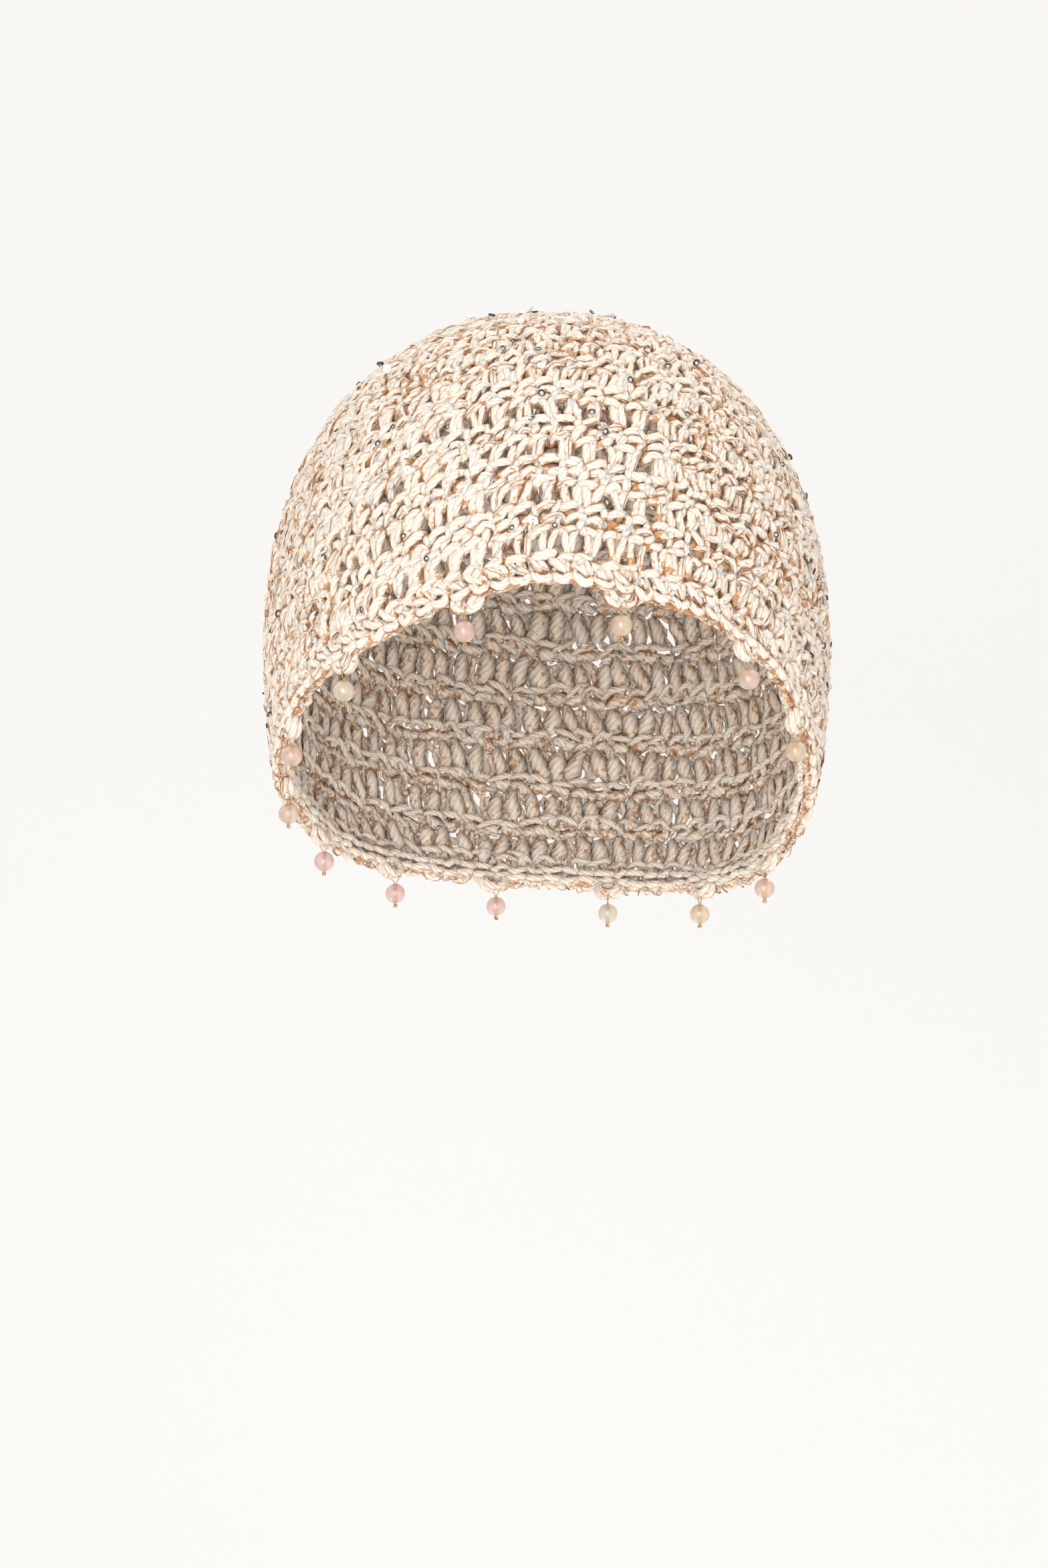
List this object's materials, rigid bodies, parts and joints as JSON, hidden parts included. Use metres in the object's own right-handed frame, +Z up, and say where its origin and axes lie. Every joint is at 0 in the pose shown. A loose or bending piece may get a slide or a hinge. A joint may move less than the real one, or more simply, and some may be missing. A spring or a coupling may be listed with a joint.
{
  "type": "crochet hat",
  "caption": "Close-fitting crochet hat worked in rounds, with an arched rim, picot edging and small drop beads on gold threads.",
  "frame": {"origin": "the top of the hat's inside, where it sits on the crown of a head", "axes": "+Z up as worn, the front faces -Y, +X is the wearer's left"},
  "size_m": [0.1658, 0.2024, 0.1807],
  "materials": {
    "crochet_yarn": "cream cotton tape yarn plied with fine copper metallic thread, crocheted",
    "edging_yarn": "the same cream yarn, worked as a chain edging",
    "rose_quartz": "polished cloudy rose quartz",
    "gold_thread": "gold metallic thread"
  },
  "bodies": {
    "root": {"crown": "crochet_yarn", "edging": "edging_yarn", "bead_01": "rose_quartz", "bead_02": "rose_quartz", "bead_03": "rose_quartz", "bead_04": "rose_quartz", "bead_05": "rose_quartz", "bead_06": "rose_quartz", "bead_07": "rose_quartz", "bead_08": "rose_quartz", "bead_09": "rose_quartz", "bead_10": "rose_quartz", "bead_11": "rose_quartz", "bead_12": "rose_quartz", "bead_13": "rose_quartz", "bead_thread_01": "gold_thread", "bead_thread_02": "gold_thread", "bead_thread_03": "gold_thread", "bead_thread_04": "gold_thread", "bead_thread_05": "gold_thread", "bead_thread_06": "gold_thread", "bead_thread_07": "gold_thread", "bead_thread_08": "gold_thread", "bead_thread_09": "gold_thread", "bead_thread_10": "gold_thread", "bead_thread_11": "gold_thread", "bead_thread_12": "gold_thread", "bead_thread_13": "gold_thread"}
  },
  "joints": []
}
